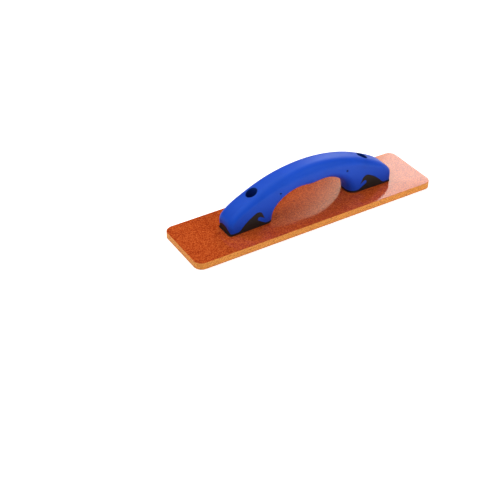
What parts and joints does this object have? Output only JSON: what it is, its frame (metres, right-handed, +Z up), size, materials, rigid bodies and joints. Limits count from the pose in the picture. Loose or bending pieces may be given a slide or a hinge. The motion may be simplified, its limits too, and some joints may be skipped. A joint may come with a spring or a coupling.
{
  "type": "laminated hand float",
  "caption": "Flat laminate board with rounded corners and a soft-grip bridge handle, for floating concrete and mortar by hand.",
  "frame": {"origin": "centre of the sole, the board's working face", "axes": "+X along the board's length, +Z up from the sole to the handle"},
  "size_m": [0.3556, 0.0888, 0.0733],
  "materials": {
    "laminate": "cloth and resin laminate, glossy faces, matt sawn edges that show the plies",
    "core_plastic": "moulded, fine satin grain",
    "soft_grip": "soft-touch overmould, satin",
    "zinc_steel": "zinc plated",
    "brass": "turned"
  },
  "bodies": {
    "root": {"board": "laminate", "handle_core": "core_plastic", "soft_grip": "soft_grip", "front_screw": "zinc_steel", "front_lock_washer": "zinc_steel", "front_flat_washer": "zinc_steel", "front_insert": "brass", "rear_screw": "zinc_steel", "rear_lock_washer": "zinc_steel", "rear_flat_washer": "zinc_steel", "rear_insert": "brass"}
  },
  "joints": []
}
